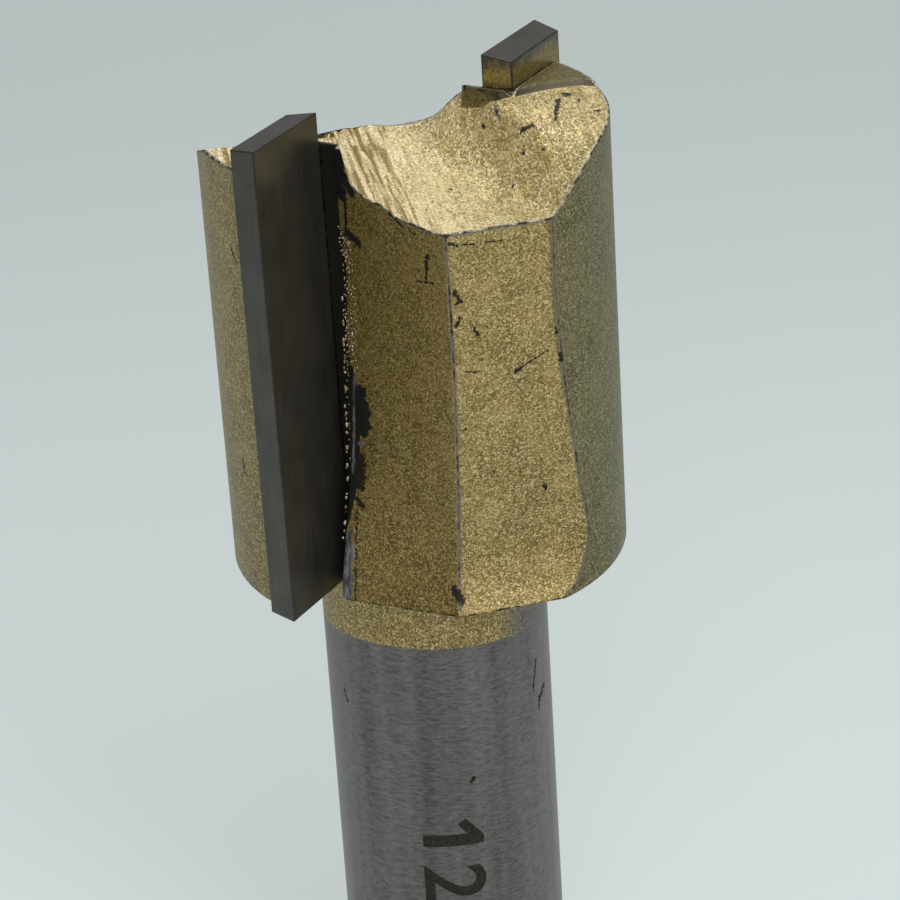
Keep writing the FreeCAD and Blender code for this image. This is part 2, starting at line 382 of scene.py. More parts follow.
def makeBody(material):
    points, edge, faces = [], [], []
    base = body["shankLength"]

    def ring(xy, z, weight):
        first = len(points)
        z = np.broadcast_to(z, len(xy))
        weight = np.broadcast_to(weight, len(xy))
        points.extend(np.column_stack((xy, z)))
        edge.extend(weight)
        return list(range(first, first + len(xy)))

    # head wall, from the underside up to the rim
    rim = body["rimRound"]
    loop, side = headSection(0.0)
    rings = [ring(inset(loop, rim), base, 1.0), ring(inset(loop, 0.3 * rim), base + 0.3 * rim, 1.0)]
    levels = [rim, 0.2, 0.35] + list(np.arange(0.6, 6.2, 0.3)) + list(np.arange(6.6, 20.3, 0.6))
    for h in levels:
        loop, side = headSection(h)
        rings.append(ring(loop, base + h, np.maximum(side, max(0.0, 1 - (h - rim) / 0.28))))
    loop, side = headSection(24.0)
    top = topHeight(loop[:, 0], loop[:, 1])
    last = levels[-1]
    for f in (0.3, 0.6, 0.85):
        rings.append(ring(loop, base + last + (top - 0.35 - last) * f, side))
    for below, weight in ((0.35, 0.0), (0.22, 0.5), (rim, 1.0)):
        rings.append(ring(loop, base + top - below, np.maximum(side, weight)))
    for share in (0.3, 1.0):
        moved = inset(loop, rim * share)
        rings.append(ring(moved, base + topHeight(moved[:, 0], moved[:, 1]) - rim * max(0, 0.6 - share), 1.0))
    for lower, upper in zip(rings, rings[1:]):
        faces += bridge(lower, upper)

    # end of the head: lands and scoop, with the points in rows along the cutter marks
    capLoop = inset(loop, rim)
    turn = math.radians(scoop["leadTurn"])
    ux, uy = across(scoop["leadTurn"])
    rows = np.concatenate((np.arange(-11, -4.0, 0.17), np.arange(-4.0, -3.1, 0.07), np.arange(-3.1, -1, 0.14),
                           np.arange(-1, 0.4, 0.09), np.arange(0.4, 3.3, 0.05), np.arange(3.3, 4.05, 0.06),
                           np.arange(4.05, 11, 0.17)))
    stations = np.arange(-11, 11, 0.24)
    q, s = np.meshgrid(rows, stations)
    s = s + np.tile(np.arange(q.shape[1]) % 2 * 0.12, (q.shape[0], 1))
    x = (q * ux + s * math.cos(turn)).ravel()
    y = (q * uy + s * math.sin(turn)).ravel()
    keep = np.abs(beyondStep(x, y)[0] - 0.1) > 0.22
    x, y = x[keep], y[keep]
    for (ax, ay, aw), (bx, by, bw) in zip(scoop["step"], scoop["step"][1:]):
        length = math.hypot(bx - ax, by - ay)
        t = np.arange(0.04, length - 0.02, 0.11) / length
        for offset in (-0.1, -0.03, 0.04, 0.11, 0.2, 0.3):
            x = np.concatenate((x, ax + (bx - ax) * t - (by - ay) / length * offset))
            y = np.concatenate((y, ay + (by - ay) * t + (bx - ax) / length * offset))
    keep = insideLoop(inset(loop, rim + 0.05), x, y)
    x, y = x[keep], y[keep]
    distance = np.full(len(x), 9.0)
    for p in capLoop:
        distance = np.minimum(distance, np.hypot(x - p[0], y - p[1]))
    x, y, distance = x[distance > 0.06], y[distance > 0.06], distance[distance > 0.06]
    first = len(points)
    triangles = fillLoop(capLoop, np.column_stack((x, y)))
    ring(np.column_stack((x, y)), base + topHeight(x, y), np.clip(1 - distance / 0.25, 0, 1))
    indices = np.concatenate((rings[-1], np.arange(first, len(points))))
    faces += [tuple(int(i) for i in indices[t]) for t in triangles]

    # underside of the head
    lowLoop = np.array([points[i][:2] for i in rings[0]])
    grid = np.stack(np.meshgrid(np.arange(-11, 11, 0.8), np.arange(-11, 11, 0.8)), axis=-1).reshape(-1, 2)
    grid = grid[insideLoop(inset(lowLoop, 0.1), grid[:, 0], grid[:, 1])]
    first = len(points)
    triangles = fillLoop(lowLoop, grid)
    ring(grid, base, 0.0)
    indices = np.concatenate((rings[0], np.arange(first, len(points))))
    faces += [tuple(int(i) for i in indices[t][::-1]) for t in triangles]

    # shank: turned profile from the middle of its end face up to its top, a hair inside the head;
    # the slots leave part of that top open to view
    r, fillet, c = body["shankRadius"], 0.15, body["shankChamfer"]
    profile = [(1.5, 0), (4.2, 0), (r - c - 0.06, 0), (r - c - 0.01, 0.015), (r - c + 0.03, 0.05),
               (r - 0.05, c - 0.04), (r - 0.012, c + 0.02), (r, c + 0.08)]
    profile += [(r, z) for z in np.linspace(1.2, base - 6, 30)]
    profile += [(r, z) for z in np.linspace(base - 5.7, base - fillet, 18)]
    profile += [(r + fillet * (1 - math.cos(t)), base + 0.01 - fillet * (1 - math.sin(t)))
                for t in np.linspace(0, math.pi / 2, 5)[1:]]
    profile += [(5.6, base + 0.01), (3.0, base + 0.01)]
    angles = np.linspace(0, 2 * math.pi, 161)[:-1]
    circle = np.column_stack((np.cos(angles), np.sin(angles)))
    turned = [ring(circle * radius, z, 0.0) for radius, z in profile]
    for lower, upper in zip(turned, turned[1:]):
        faces += bridge(lower, upper)
    low, high = ring(np.zeros((1, 2)), 0.0, 0.0)[0], ring(np.zeros((1, 2)), base + 0.01, 0.0)[0]
    faces += [(turned[0][(i + 1) % 160], turned[0][i], low) for i in range(160)]
    faces += [(turned[-1][i], turned[-1][(i + 1) % 160], high) for i in range(160)]
    turned, gullet = paintedShadeZones(points)
    attributes = {"edge": edge, "land": onLand(points), "sootAndShade": fluxAndPaintedShade(points), "turned": turned,
                  "gullet": gullet}
    return newPiece("cutterBody", points, faces, material, "cutter_body", attributes, 40)


# Materials
paint = {
    "shadow": "#665528", "gold": "#a68e57", "light": "#d9c894",           # on the ground walls
    # painted shade: the turned land greyer and darker, the gullet's back wall darker
    "turnedPaintedShade": "#bfccd6", "gulletPaintedShade": "#d4cfb8",
    # in the scoop: the same lacquer painted as a lit copy, lighter than on the walls, its lightest flakes
    # painted glints
    "litScoopDark": "#8a7643", "litScoopGold": "#cdb87c", "litScoopGlint": "#fff3cf",
    "land": "#4b442a", "landLight": "#837648", "landStep": "#373019",
    "flake": 0.075, "scoopFlake": 0.078,  # mm; the real 0.04 mm flakes would not show, so they are coarser
    "tilt": 0.13, "scoopTilt": 0.3,
    "worn": "#796e5c", "wornRimHighlight": "#aca189", "chip": "#241f13", "bare": "#1f2320", "bareLow": "#403d3d",
    "bareHigh": "#837f80",
}
shank = {"dark": "#464443", "pale": "#87807e", "lapHeight": -3.65}

# marks in the coat: two ends of a stroke, half width
chips = [
    # on the gullet's back wall and along the corner beside it
    ((5.16, -7.01, 20.6), (5.05, -6.98, 19.8), 0.1), ((5.05, -6.98, 19.8), (4.98, -6.95, 19.2), 0.06),
    ((4.34, -6.82, 18.97), (5.49, -7.06, 19.11), 0.045), ((4.46, -6.84, 19.62), (4.49, -6.85, 19.57), 0.07),
    ((2.67, -6.49, 22.38), (3.58, -6.68, 21.87), 0.06), ((2.8, -6.35, 22.15), (4.44, -6.86, 21.6), 0.04),
    ((-0.27, -5.87, 22.46), (-0.37, -5.83, 20.75), 0.08), ((-0.32, -5.84, 20.59), (0.4, -5.99, 20.19), 0.22),
    ((-0.05, -5.91, 23.29), (0.26, -5.98, 22.91), 0.2), ((-0.1, -5.9, 23.9), (-0.05, -5.91, 23.29), 0.1),
    ((-0.07, -6.64, 7.96), (-0.11, -6.78, 6.4), 0.3), ((-0.27, -6.95, 5.54), (0.12, -7.02, 5.17), 0.13),
    ((-0.25, -7.08, 5.04), (0.0, -8.34, 0.09), 0.04), ((2.9, -7.1, 9.0), (3.2, -7.1, 8.75), 0.05),
    # on the flat
    ((6.67, -7.09, 18.83), (6.9, -6.84, 18.21), 0.1), ((6.9, -6.84, 18.21), (6.67, -7.07, 18.1), 0.07),
    ((6.82, -6.9, 17.3), (6.65, -7.06, 16.88), 0.09), ((7.31, -6.38, 16.6), (7.45, -6.24, 16.19), 0.08),
    ((6.88, -6.71, 14.21), (7.4, -6.18, 14.05), 0.05), ((8.77, -4.79, 13.75), (8.86, -4.71, 13.81), 0.1),
    ((8.77, -4.79, 13.75), (10.05, -3.56, 14.65), 0.045), ((6.61, -6.72, 10.87), (6.61, -6.71, 10.82), 0.07),
    ((7.52, -5.5, 8.01), (7.52, -5.5, 7.95), 0.06), ((5.55, -7.14, 1.29), (6.04, -7.18, 0.75), 0.19),
    ((6.59, -7.15, 21.5), (6.88, -6.86, 21.37), 0.07), ((7.07, -6.67, 21.33), (7.52, -6.22, 21.28), 0.045),
    ((7.74, -6.0, 21.25), (8.69, -5.05, 21.22), 0.035), ((9.4, -3.44, 6.6), (9.41, -3.41, 6.38), 0.09),
    ((10.42, -3.24, 15.85), (10.42, -3.24, 15.54), 0.08),
    ((10.53, -3.04, 14.27), (10.53, -3.03, 13.97), 0.12),
    # on the turned land in front
    ((-4.99, -9.8, 20.51), (-4.64, -9.97, 19.9), 0.06), ((-5.81, -9.34, 7.95), (-5.71, -9.4, 7.11), 0.06),
    # in the scoop
    ((2.7, 3.83, 23.55), (2.82, 3.72, 23.53), 0.1), ((3.51, 3.94, 24.43), (3.6, 3.79, 24.32), 0.08),
    ((5.95, 2.25, 24.25), (6.4, 2.45, 24.5), 0.15), ((6.47, 1.3, 23.45), (6.53, 1.25, 23.42), 0.13),
    ((7.81, 1.07, 23.91), (7.86, 1.01, 23.88), 0.09), ((6.48, 5.5, 24.97), (6.97, 4.38, 24.91), 0.12),
    ((6.97, 4.38, 24.91), (7.52, 3.13, 24.74), 0.09), ((6.37, 6.34, 24.98), (6.69, 6.2, 24.99), 0.2),
    ((7.58, 5.71, 24.98), (7.67, 5.58, 24.98), 0.1), ((9.14, 4.67, 24.92), (9.28, 4.8, 24.93), 0.12),
    ((3.23, -0.9, 21.75), (3.31, -1.02, 21.76), 0.07), ((6.61, -0.32, 22.17), (6.68, -0.38, 22.16), 0.07),
    # on the shank
    ((6.3, 0.8, -8.6), (6.34, 0.2, -9.1), 0.13), ((6.34, 0.2, -9.1), (6.34, 0.05, -9.7), 0.08),
    ((6.35, 0.0, -6.5), (6.33, -0.48, -8.2), 0.07),
    ((4.49, -4.49, -12.25), (4.35, -4.63, -12.4), 0.12), ((-2.9, -5.65, -7.6), (-2.7, -5.75, -8.2), 0.07),
]
darkSteel = [
    ((-0.6, -5.86, 25.15), (-0.62, -5.86, 23.93), 0.46), ((-0.62, -5.86, 23.94), (-0.5, -5.86, 22.7), 0.32),
    ((0.1, -6.36, 11.7), (0.12, -6.45, 10.7), 0.36), ((0.16, -6.44, 11.0), (0.16, -6.54, 9.6), 0.42),
]
# bare steel strips and scratches; the first stroke, along a raised rim beside the gash, and the small spot at
# 8.8 high are painted highlights
bareSteelAndHighlights = [
    ((-0.31, -6.25, 12.48), (-0.52, -6.7, 7.01), 0.07), ((-0.66, -7.5, 3.6), (-0.5, -8.33, 0.27), 0.3),
    ((4.34, -4.64, -4.9), (3.9, -5.0, -6.7), 0.035), ((5.6, -2.99, -4.5), (5.5, -3.15, -5.4), 0.04),
    ((-0.18, -6.56, 8.74), (0.15, -6.58, 8.81), 0.1), ((3.2, 4.3, 24.6), (4.3, 2.9, 24.1), 0.1),
]


# 1 inside any of the strokes, 0 outside; the width varies with the noise handed in, so no edge is even
def strokeMask(tree, place, strokes, uneven):
    least = None
    for a, b, radius in strokes:
        a, b = Vector(a), Vector(b)
        run = b - a
        if run.length > radius:
            fromStart = addNode(tree, "ShaderNodeVectorMath", {0: place, 1: a}, operation="SUBTRACT")
            share = addNode(tree, "ShaderNodeVectorMath", {0: fromStart, 1: run / run.length_squared},
                            operation="DOT_PRODUCT")
            held = addNode(tree, "ShaderNodeClamp", {0: share.outputs["Value"]})
            nearest = addNode(tree, "ShaderNodeVectorMath", {0: run, "Scale": held}, operation="SCALE")
            away = addNode(tree, "ShaderNodeVectorMath", {0: fromStart, 1: nearest}, operation="DISTANCE")
        else:
            away = addNode(tree, "ShaderNodeVectorMath", {0: place, 1: (a + b) / 2}, operation="DISTANCE")
        inRadii = {0: away.outputs["Value"], 1: 1 / radius}
        if least is None:
            least = addNode(tree, "ShaderNodeMath", inRadii, operation="MULTIPLY")
        else:
            away = addNode(tree, "ShaderNodeMath", inRadii, operation="MULTIPLY")
            least = addNode(tree, "ShaderNodeMath", {0: least, 1: away}, operation="MINIMUM")
    least = addNode(tree, "ShaderNodeMath", {0: least, 1: uneven}, operation="ADD")
    return addNode(tree, "ShaderNodeMapRange", {0: least, 1: 1.45, 2: 1.1, 3: 0.0, 4: 1.0})


# Tool steel sprayed with metallic gold lacquer: fine glitter on the ground walls, coarse in the milled scoop,
# where it lies along the cutter marks and is painted as a brighter, lit copy with painted glints; chipped at
# the edges, bare beside the tips.
# The shank is left bare and centreless ground: dull grey with short fine marks round it.
def makePaintedSteel():
    material, tree = newMaterial("goldLacquerOnGroundToolSteel")
    coords = addNode(tree, "ShaderNodeTexCoord")
    scaled = addNode(tree, "ShaderNodeVectorMath", {0: coords.outputs["Object"], "Scale": 1 / mm},
                     operation="SCALE")
    place = addNode(tree, "ShaderNodeVectorMath", {0: scaled, 1: (0, 0, body["shankLength"])},
                    operation="SUBTRACT")
    axes = addNode(tree, "ShaderNodeSeparateXYZ", {0: place})
    edge = addNode(tree, "ShaderNodeAttribute", attribute_name="edge")
    land = addNode(tree, "ShaderNodeAttribute", attribute_name="land")
    sootAndShade = addNode(tree, "ShaderNodeAttribute", attribute_name="sootAndShade")
    surface = addNode(tree, "ShaderNodeNewGeometry")
    upward = addNode(tree, "ShaderNodeSeparateXYZ", {0: surface.outputs["True Normal"]})

    # the scoop is what faces up and isn't land
    milled = addNode(tree, "ShaderNodeMapRange", {0: upward.outputs[2], 1: 0.3, 2: 0.4})
    notLand = addNode(tree, "ShaderNodeMath", {0: 1.0, 1: land.outputs["Fac"]}, operation="SUBTRACT")
    atEnd = addNode(tree, "ShaderNodeMath", {0: axes.outputs[2], 1: 19.0}, operation="GREATER_THAN")
    atEnd = addNode(tree, "ShaderNodeMath", {0: milled, 1: atEnd}, operation="MULTIPLY")
    milled = addNode(tree, "ShaderNodeMath", {0: atEnd, 1: notLand}, operation="MULTIPLY")

    # flakes: each cell has its own tone and its own lean
    flake = addNode(tree, "ShaderNodeTexVoronoi", {"Vector": place, "Scale": 1 / paint["flake"]})
    turned = addNode(tree, "ShaderNodeVectorRotate", {"Vector": place, "Axis": (0, 0, 1),
                                                      "Angle": -math.radians(scoop["leadTurn"])})
    laid = addNode(tree, "ShaderNodeVectorMath", {0: turned, 1: (0.55, 1, 1)}, operation="MULTIPLY")
    lined = addNode(tree, "ShaderNodeVectorMath", {0: turned, 1: (0.14, 3.6, 0.1)}, operation="MULTIPLY")
    lines = addNode(tree, "ShaderNodeTexNoise", {"Vector": lined, "Scale": 1.0, "Detail": 4.0,
                                                 "Roughness": 0.65})
    acrossLines = addNode(tree, "ShaderNodeSeparateXYZ", {0: turned})
    beside = addNode(tree, "ShaderNodeMapRange", {0: acrossLines.outputs[1], 1: 0.9, 2: -1.2, 3: 0.15,
                                                  4: 1.0})
    # the cutter marks are also painted into the colour: light and dark lines standing in for the light and
    # shade on their ridges and grooves, strongest beside the front tip
    lineShade = addNode(tree, "ShaderNodeMapRange", {0: lines, 1: 0.4, 2: 0.6, 3: -0.75, 4: 0.5}, clamp=False)
    lineShade = addNode(tree, "ShaderNodeMath", {0: lineShade, 1: beside}, operation="MULTIPLY")
    # painted light across the scoop: lighter on the side by the front tip, darker towards the far side
    paintedLightAcrossScoop = addNode(tree, "ShaderNodeMapRange", {0: acrossLines.outputs[1], 1: 0.5, 2: 5.0, 3: 0.26,
                                                  4: -0.14})
    lineShade = addNode(tree, "ShaderNodeMath", {0: lineShade, 1: paintedLightAcrossScoop}, operation="ADD")
    lineShade = addNode(tree, "ShaderNodeMath", {0: lineShade, 1: milled}, operation="MULTIPLY")
    coarse = addNode(tree, "ShaderNodeTexVoronoi", {"Vector": laid, "Scale": 1 / paint["scoopFlake"]})
    cell = addNode(tree, "ShaderNodeMix", {0: milled, 6: flake.outputs["Color"], 7: coarse.outputs["Color"]},
                   data_type="RGBA")
    tone = addNode(tree, "ShaderNodeSeparateColor", {0: cell.outputs[2]})
    mottle = addNode(tree, "ShaderNodeTexNoise", {"Vector": place, "Scale": 0.5, "Detail": 5.0,
                                                  "Roughness": 0.6})
    shade = addNode(tree, "ShaderNodeMath", {0: tone.outputs[0], 1: 0.85, 2: mottle},
                    operation="MULTIPLY_ADD")
    shade = addNode(tree, "ShaderNodeMath", {0: shade, 1: lineShade}, operation="ADD")
    # painted shade: the lacquer darker towards the head's underside
    lower = addNode(tree, "ShaderNodeMapRange", {0: axes.outputs[2], 1: 1.0, 2: 14.0, 3: -0.13, 4: 0.0})
    shade = addNode(tree, "ShaderNodeMath", {0: shade, 1: lower}, operation="ADD")
    dark = addNode(tree, "ShaderNodeMapRange", {0: shade, 1: 0.52, 2: 1.22})
    # the lightest flakes, raised along the painted light lines of the cutter marks; in the scoop these are
    # painted glints
    bright = addNode(tree, "ShaderNodeMath", {0: lineShade, 1: 0.6, 2: tone.outputs[1]},
                     operation="MULTIPLY_ADD")
    bright = addNode(tree, "ShaderNodeMapRange", {0: bright, 1: 0.66, 2: 1.0, 4: 0.9})
    wall = addNode(tree, "ShaderNodeMix", {0: dark, 6: linear(paint["shadow"]), 7: linear(paint["gold"])},
                   data_type="RGBA")
    wall = addNode(tree, "ShaderNodeMix", {0: bright, 6: wall.outputs[2], 7: linear(paint["light"])},
                   data_type="RGBA")
    # painted shade: the turned land greyer and darker, more so towards +x, and the gullet's back wall darker
    paintedShadeRightward = addNode(tree, "ShaderNodeMapRange", {0: axes.outputs[0], 1: -6.0, 2: 4.0, 3: 0.3, 4: 1.0})
    for shadedZone, tint, amount in (("turned", "turnedPaintedShade", paintedShadeRightward), ("gullet", "gulletPaintedShade", 1.0)):
        where = addNode(tree, "ShaderNodeAttribute", attribute_name=shadedZone)
        where = addNode(tree, "ShaderNodeMath", {0: where.outputs["Fac"], 1: amount}, operation="MULTIPLY")
        wall = addNode(tree, "ShaderNodeMix", {0: where, 6: wall.outputs[2], 7: linear(paint[tint])},
                       data_type="RGBA", blend_type="MULTIPLY")
    # painted light: the scoop's lacquer as a brighter, lit copy of the wall colours, with near-white painted
    # glints
    paintedLitScoop = addNode(tree, "ShaderNodeMix", {0: dark, 6: linear(paint["litScoopDark"]),
                                           7: linear(paint["litScoopGold"])}, data_type="RGBA")
    paintedLitScoop = addNode(tree, "ShaderNodeMix", {0: bright, 6: paintedLitScoop.outputs[2], 7: linear(paint["litScoopGlint"])},
                   data_type="RGBA")
    gold = addNode(tree, "ShaderNodeMix", {0: milled, 6: wall.outputs[2], 7: paintedLitScoop.outputs[2]},
                   data_type="RGBA")
    landTone = addNode(tree, "ShaderNodeTexNoise", {"Vector": place, "Scale": 4.0, "Detail": 5.0,
                                                    "Roughness": 0.8})
    landTone = addNode(tree, "ShaderNodeMath", {0: tone.outputs[0], 1: 0.3, 2: landTone},
                       operation="MULTIPLY_ADD")
    landTone = addNode(tree, "ShaderNodeMapRange", {0: landTone, 1: 0.5, 2: 0.85})
    landColour = addNode(tree, "ShaderNodeMix", {0: landTone, 6: linear(paint["land"]),
                                                 7: linear(paint["landLight"])}, data_type="RGBA")
    level = addNode(tree, "ShaderNodeMapRange", {0: upward.outputs[2], 1: 0.93, 2: 0.99})
    steep = addNode(tree, "ShaderNodeMapRange", {0: upward.outputs[2], 1: 0.45, 2: 0.25})
    level = addNode(tree, "ShaderNodeMath", {0: level, 1: steep}, operation="MAXIMUM")
    landColour = addNode(tree, "ShaderNodeMix",
                         {0: level, 6: linear(paint["landStep"]), 7: landColour.outputs[2]}, data_type="RGBA")
    gold = addNode(tree, "ShaderNodeMix", {0: land.outputs["Fac"], 6: gold.outputs[2],
                                           7: landColour.outputs[2]}, data_type="RGBA")

    # ground steel: short marks round the shank, paler streaks along it
    stretched = addNode(tree, "ShaderNodeVectorMath", {0: place, 1: (2.0, 2.0, 7.5)}, operation="MULTIPLY")
    marks = addNode(tree, "ShaderNodeTexNoise", {"Vector": stretched, "Scale": 1.0, "Detail": 6.0,
                                                 "Roughness": 0.75,
                                                 "Distortion": 0.25})
    alongShank = addNode(tree, "ShaderNodeVectorMath", {0: place, 1: (0.8, 0.8, 0.04)}, operation="MULTIPLY")
    streaks = addNode(tree, "ShaderNodeTexNoise", {"Vector": alongShank, "Scale": 1.0, "Detail": 3.0})
    steelTone = addNode(tree, "ShaderNodeMath", {0: streaks, 1: 0.36, 2: marks}, operation="MULTIPLY_ADD")
    steelTone = addNode(tree, "ShaderNodeMapRange", {0: steelTone, 1: 0.46, 2: 0.9})
    steel = addNode(tree, "ShaderNodeMix", {0: steelTone, 6: linear(shank["dark"]), 7: linear(shank["pale"])},
                    data_type="RGBA")

    # where the lacquer ends on the neck: a clean line, lower at the sides; rubbed thin on the right
    ragged = addNode(tree, "ShaderNodeTexNoise", {"Vector": place, "Scale": 0.5, "Detail": 6.0,
                                                  "Roughness": 0.6})
    facingFront = addNode(tree, "ShaderNodeVectorMath", {0: place, 1: (0.0247, -0.1556, 0)},
                          operation="DOT_PRODUCT")
    lap = addNode(tree, "ShaderNodeMath", {0: facingFront.outputs["Value"], 1: 0.7,
                                           2: shank["lapHeight"] - 0.9}, operation="MULTIPLY_ADD")
    lap = addNode(tree, "ShaderNodeMath", {0: ragged, 1: 0.4, 2: lap}, operation="MULTIPLY_ADD")
    aboveLap = addNode(tree, "ShaderNodeMath", {0: axes.outputs[2], 1: lap}, operation="SUBTRACT")
    covered = addNode(tree, "ShaderNodeMapRange", {0: aboveLap, 1: -0.03, 2: 0.03})
    rightward = addNode(tree, "ShaderNodeVectorMath", {0: place, 1: (0.155, 0.027, 0)},
                        operation="DOT_PRODUCT")
    thin = addNode(tree, "ShaderNodeTexNoise", {"Vector": place, "Scale": 5.0, "Detail": 5.0,
                                                "Roughness": 0.8})
    thin = addNode(tree, "ShaderNodeMath", {0: thin, 1: 0.9, 2: rightward.outputs["Value"]},
                   operation="MULTIPLY_ADD")
    thin = addNode(tree, "ShaderNodeMapRange", {0: thin, 1: 1.26, 2: 1.4})
    onNeck = addNode(tree, "ShaderNodeMath", {0: axes.outputs[2], 1: -0.02}, operation="LESS_THAN")
    thin = addNode(tree, "ShaderNodeMath", {0: thin, 1: onNeck}, operation="MULTIPLY")
    covered = addNode(tree, "ShaderNodeMath", {0: covered, 1: thin}, operation="SUBTRACT", use_clamp=True)

    # chips and rubbed edges
    wobble = addNode(tree, "ShaderNodeTexNoise", {"Vector": place, "Scale": 5.0, "Detail": 2.0})
    wobble = addNode(tree, "ShaderNodeVectorMath", {0: wobble.outputs["Color"], 1: (0.5, 0.5, 0.5)},
                     operation="SUBTRACT")
    wobble = addNode(tree, "ShaderNodeVectorMath", {0: wobble, "Scale": 0.24}, operation="SCALE")
    shifted = addNode(tree, "ShaderNodeVectorMath", {0: place, 1: wobble})
    torn = addNode(tree, "ShaderNodeTexNoise", {"Vector": place, "Scale": 5.5, "Detail": 4.0,
                                                "Roughness": 0.7})
    torn = addNode(tree, "ShaderNodeMapRange", {0: torn, 1: 0.3, 2: 0.7, 3: -0.7, 4: 0.9})
    smoother = addNode(tree, "ShaderNodeTexNoise", {"Vector": place, "Scale": 2.6, "Detail": 2.0})
    smoother = addNode(tree, "ShaderNodeMapRange", {0: smoother, 1: 0.3, 2: 0.7, 3: -0.4, 4: 0.7})
    chipped = strokeMask(tree, shifted, chips, torn)
    slate, pale = (strokeMask(tree, place, strokes, smoother) for strokes in (darkSteel, bareSteelAndHighlights))
    rub = addNode(tree, "ShaderNodeTexNoise", {"Vector": place, "Scale": 3.2, "Detail": 4.0,
                                               "Roughness": 0.75})
    rubbed = addNode(tree, "ShaderNodeMath", {0: edge.outputs["Fac"], 1: rub}, operation="ADD")
    rubbed = addNode(tree, "ShaderNodeMapRange", {0: rubbed, 1: 1.09, 2: 1.33})
    offFoot = addNode(tree, "ShaderNodeMath", {0: axes.outputs[2], 1: 0.3}, operation="GREATER_THAN")
    rubbed = addNode(tree, "ShaderNodeMath", {0: rubbed, 1: offFoot}, operation="MULTIPLY")
    spots = addNode(tree, "ShaderNodeTexNoise", {"Vector": place, "Scale": 1.9, "Detail": 5.0,
                                                 "Roughness": 0.75})
    spotted = addNode(tree, "ShaderNodeMath", {0: edge.outputs["Fac"], 1: spots}, operation="ADD")
    spotted = addNode(tree, "ShaderNodeMapRange", {0: spotted, 1: 1.41, 2: 1.55})
    sootyAndShaded = addNode(tree, "ShaderNodeMath", {0: sootAndShade.outputs["Fac"], 1: rub}, operation="ADD")
    sootyAndShaded = addNode(tree, "ShaderNodeMapRange", {0: sootyAndShaded, 1: 0.95, 2: 1.05})

    # rubbed edges show worn lacquer; on the up-facing rim of the scoop the worn colour is a lighter copy, a
    # painted highlight
    colour = addNode(tree, "ShaderNodeMix", {0: atEnd, 6: linear(paint["worn"]), 7: linear(paint["wornRimHighlight"])},
                     data_type="RGBA")
    colour = addNode(tree, "ShaderNodeMix", {0: rubbed, 6: gold.outputs[2], 7: colour.outputs[2]},
                     data_type="RGBA")
    offEnd = addNode(tree, "ShaderNodeMath", {0: 1.0, 1: atEnd}, operation="SUBTRACT")
    slate = addNode(tree, "ShaderNodeMath", {0: slate, 1: offEnd}, operation="MULTIPLY")
    # bare steel patches, then the black of the gash strip: burnt flux with painted shadow, and painted shade
    # in the crease under the head
    for mask, tint in ((slate, "bare"), (sootyAndShaded, "chip")):
        colour = addNode(tree, "ShaderNodeMix", {0: mask, 6: colour.outputs[2], 7: linear(paint[tint])},
                         data_type="RGBA")
    drawn = addNode(tree, "ShaderNodeVectorMath", {0: place, 1: (6.0, 6.0, 0.5)}, operation="MULTIPLY")
    drawn = addNode(tree, "ShaderNodeTexNoise", {"Vector": drawn, "Scale": 1.0, "Detail": 3.0})
    drawn = addNode(tree, "ShaderNodeMapRange", {0: drawn, 1: 0.35, 2: 0.65})
    drawn = addNode(tree, "ShaderNodeMix",
                    {0: drawn, 6: linear(paint["bareLow"]), 7: linear(paint["bareHigh"])}, data_type="RGBA")
    colour = addNode(tree, "ShaderNodeMix", {0: pale, 6: colour.outputs[2], 7: drawn.outputs[2]},
                     data_type="RGBA")
    dirt = addNode(tree, "ShaderNodeMath", {0: spotted, 1: chipped}, operation="MAXIMUM")
    colour = addNode(tree, "ShaderNodeMix", {0: covered, 6: steel.outputs[2], 7: colour.outputs[2]},
                     data_type="RGBA")
    colour = addNode(tree, "ShaderNodeMix", {0: dirt, 6: colour.outputs[2], 7: linear(paint["chip"])},
                     data_type="RGBA")

    # lean of the flakes, in the lacquer only
    lean = addNode(tree, "ShaderNodeVectorMath", {0: cell.outputs[2], 1: (0.5, 0.5, 0.5)},
                   operation="SUBTRACT")
    hidden = addNode(tree, "ShaderNodeMath", {0: dirt, 1: land.outputs["Fac"]}, operation="MAXIMUM")
    for mask in (slate, sootyAndShaded, pale):
        hidden = addNode(tree, "ShaderNodeMath", {0: hidden, 1: mask}, operation="MAXIMUM")
    shown = addNode(tree, "ShaderNodeMath", {0: 1.0, 1: hidden}, operation="SUBTRACT")
    painted = addNode(tree, "ShaderNodeMath", {0: covered, 1: shown}, operation="MULTIPLY")
    tilt = addNode(tree, "ShaderNodeMapRange", {0: milled, 3: paint["tilt"], 4: paint["scoopTilt"]})
    leanBy = addNode(tree, "ShaderNodeMath", {0: painted, 1: tilt}, operation="MULTIPLY")
    lean = addNode(tree, "ShaderNodeVectorMath", {0: lean, "Scale": leanBy}, operation="SCALE")
    height = addNode(tree, "ShaderNodeMath", {0: covered, 1: 0.6, 2: marks}, operation="MULTIPLY_ADD")
    height = addNode(tree, "ShaderNodeMath", {0: lineShade, 1: 1.5, 2: height}, operation="MULTIPLY_ADD")
    bump = addNode(tree, "ShaderNodeBump", {"Strength": 0.35, "Distance": 0.04 * mm, "Height": height})
    facing = addNode(tree, "ShaderNodeVectorMath", {0: bump, 1: lean})
    facing = addNode(tree, "ShaderNodeVectorMath", {0: facing}, operation="NORMALIZE")

